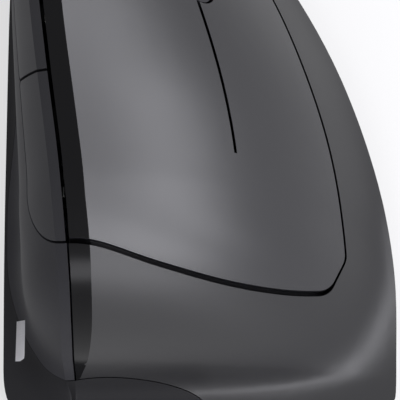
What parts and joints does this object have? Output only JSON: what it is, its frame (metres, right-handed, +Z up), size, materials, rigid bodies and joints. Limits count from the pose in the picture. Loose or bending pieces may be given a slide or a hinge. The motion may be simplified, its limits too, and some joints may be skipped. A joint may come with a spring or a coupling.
{
  "type": "vertical ergonomic mouse",
  "caption": "Cordless vertical ergonomic mouse for the right hand with two keys, scroll wheel, thumb buttons, battery bay and stored receiver.",
  "frame": {"origin": "bottom centre of the bounding box, on the surface that the glide feet stand on", "axes": "+X towards the finger side, +Y towards the front with the wheel, +Z up"},
  "size_m": [0.0748, 0.1199, 0.0629],
  "materials": {
    "shell_plastic": "fine matte",
    "panel_plastic": "satin",
    "button_plastic": "satin gloss",
    "tyre_rubber": "matte",
    "inner_plastic": "matte",
    "door_plastic": "fine matte",
    "switch_plastic": "matte",
    "plunger_plastic": "matte",
    "board": "lacquered",
    "chip": "matte",
    "lens_plastic": "clear",
    "foot_plastic": "smooth",
    "steel": "bright",
    "cell_jacket": "gloss",
    "ribbon": "matte"
  },
  "bodies": {
    "mouse_body": {"base_shell": "shell_plastic", "finger_shell": "shell_plastic", "thumb_shell": "shell_plastic", "key_cover": "panel_plastic", "glide_feet": "foot_plastic", "case_screws": "steel", "frame_screws": "steel", "cell_1": "cell_jacket", "cell_2": "cell_jacket", "cell_springs": "steel", "cell_contacts": "steel", "receiver_cap": "door_plastic", "receiver_plug": "steel", "key_frame": "inner_plastic", "key_board": "board", "left_switch": "switch_plastic", "right_switch": "switch_plastic", "click_switch": "switch_plastic", "resolution_switch": "switch_plastic", "side_board": "board", "back_switch": "switch_plastic", "forward_switch": "switch_plastic", "main_board": "board", "sensor_chip": "chip", "sensor_lens": "lens_plastic", "sensor_lamp": "lens_plastic", "controller_chip": "chip", "power_switch": "switch_plastic", "key_ribbon": "ribbon", "side_ribbon": "ribbon", "connectors": "plunger_plastic"},
    "left_key_body": {"left_key": "panel_plastic"},
    "right_key_body": {"right_key": "panel_plastic"},
    "back_button_body": {"back_button": "button_plastic"},
    "forward_button_body": {"forward_button": "button_plastic"},
    "resolution_button_body": {"resolution_button": "button_plastic"},
    "left_plunger_body": {"left_plunger": "plunger_plastic"},
    "right_plunger_body": {"right_plunger": "plunger_plastic"},
    "back_plunger_body": {"back_plunger": "plunger_plastic"},
    "forward_plunger_body": {"forward_plunger": "plunger_plastic"},
    "click_plunger_body": {"click_plunger": "plunger_plastic"},
    "resolution_plunger_body": {"resolution_plunger": "plunger_plastic"},
    "yoke_body": {"wheel_yoke": "inner_plastic", "wheel_encoder": "inner_plastic"},
    "wheel_body": {"wheel_hub": "inner_plastic", "wheel_tyre": "tyre_rubber"},
    "power_knob_body": {"power_knob": "inner_plastic"},
    "battery_door_body": {"battery_door": "door_plastic"}
  },
  "joints": [
    {"name": "left_key_press", "type": "hinge", "parent": "mouse_body", "child": "left_key_body", "pos_m": [-0.00777, -0.00978, 0.05137], "axis": [-0.8649, 0, 0.502], "range_deg": [0, 0.4927], "stiffness_Nm_per_rad": 3},
    {"name": "right_key_press", "type": "hinge", "parent": "mouse_body", "child": "right_key_body", "pos_m": [0.01571, -0.00978, 0.03075], "axis": [-0.6014, 0, 0.7989], "range_deg": [0, 0.4194], "stiffness_Nm_per_rad": 3},
    {"name": "back_button_press", "type": "slide", "parent": "mouse_body", "child": "back_button_body", "axis": [1, 0, 0], "range_m": [0, 0.00035], "stiffness_N_per_m": 600},
    {"name": "forward_button_press", "type": "slide", "parent": "mouse_body", "child": "forward_button_body", "axis": [1, 0, 0], "range_m": [0, 0.00035], "stiffness_N_per_m": 600},
    {"name": "resolution_press", "type": "slide", "parent": "mouse_body", "child": "resolution_button_body", "axis": [-0.6766, -0.3757, -0.6333], "range_m": [0, 0.0005], "stiffness_N_per_m": 600},
    {"name": "left_plunger_press", "type": "slide", "parent": "mouse_body", "child": "left_plunger_body", "axis": [-0.6766, -0.3757, -0.6333], "range_m": [0, 0.0004]},
    {"name": "right_plunger_press", "type": "slide", "parent": "mouse_body", "child": "right_plunger_body", "axis": [-0.6766, -0.3757, -0.6333], "range_m": [0, 0.0004]},
    {"name": "back_plunger_press", "type": "slide", "parent": "mouse_body", "child": "back_plunger_body", "axis": [1, 0, 0], "range_m": [0, 0.00035]},
    {"name": "forward_plunger_press", "type": "slide", "parent": "mouse_body", "child": "forward_plunger_body", "axis": [1, 0, 0], "range_m": [0, 0.00035]},
    {"name": "resolution_plunger_press", "type": "slide", "parent": "mouse_body", "child": "resolution_plunger_body", "axis": [-0.6766, -0.3757, -0.6333], "range_m": [0, 0.0005]},
    {"name": "click_plunger_press", "type": "slide", "parent": "mouse_body", "child": "click_plunger_body", "axis": [-0.6766, -0.3757, -0.6333], "range_m": [0, 0.0003]},
    {"name": "wheel_click", "type": "hinge", "parent": "mouse_body", "child": "yoke_body", "pos_m": [-0.00632, 0.02222, 0.03957], "axis": [-0.5831, -0.2518, 0.7724], "range_deg": [0, 0.6366], "stiffness_Nm_per_rad": 2},
    {"name": "wheel_spin", "type": "hinge", "parent": "yoke_body", "child": "wheel_body", "pos_m": [-0.01194, 0.03337, 0.03896], "axis": [0.5831, 0.2518, -0.7724], "continuous": true},
    {"name": "power_slide", "type": "slide", "parent": "mouse_body", "child": "power_knob_body", "axis": [0, 1, 0], "range_m": [0, 0.0022]},
    {"name": "battery_door_swing", "type": "hinge", "parent": "mouse_body", "child": "battery_door_body", "pos_m": [-0.00405, -0.015, 0.00145], "axis": [1, 0, 0], "range_deg": [0, 80]}
  ],
  "couplings": [
    {"joint": "left_plunger_press", "follows": "left_key_press", "m_per_rad": 0.046509},
    {"joint": "right_plunger_press", "follows": "right_key_press", "m_per_rad": 0.054638},
    {"joint": "back_plunger_press", "follows": "back_button_press", "ratio": 1},
    {"joint": "forward_plunger_press", "follows": "forward_button_press", "ratio": 1},
    {"joint": "resolution_plunger_press", "follows": "resolution_press", "ratio": 1},
    {"joint": "click_plunger_press", "follows": "wheel_click", "m_per_rad": 0.026997}
  ]
}
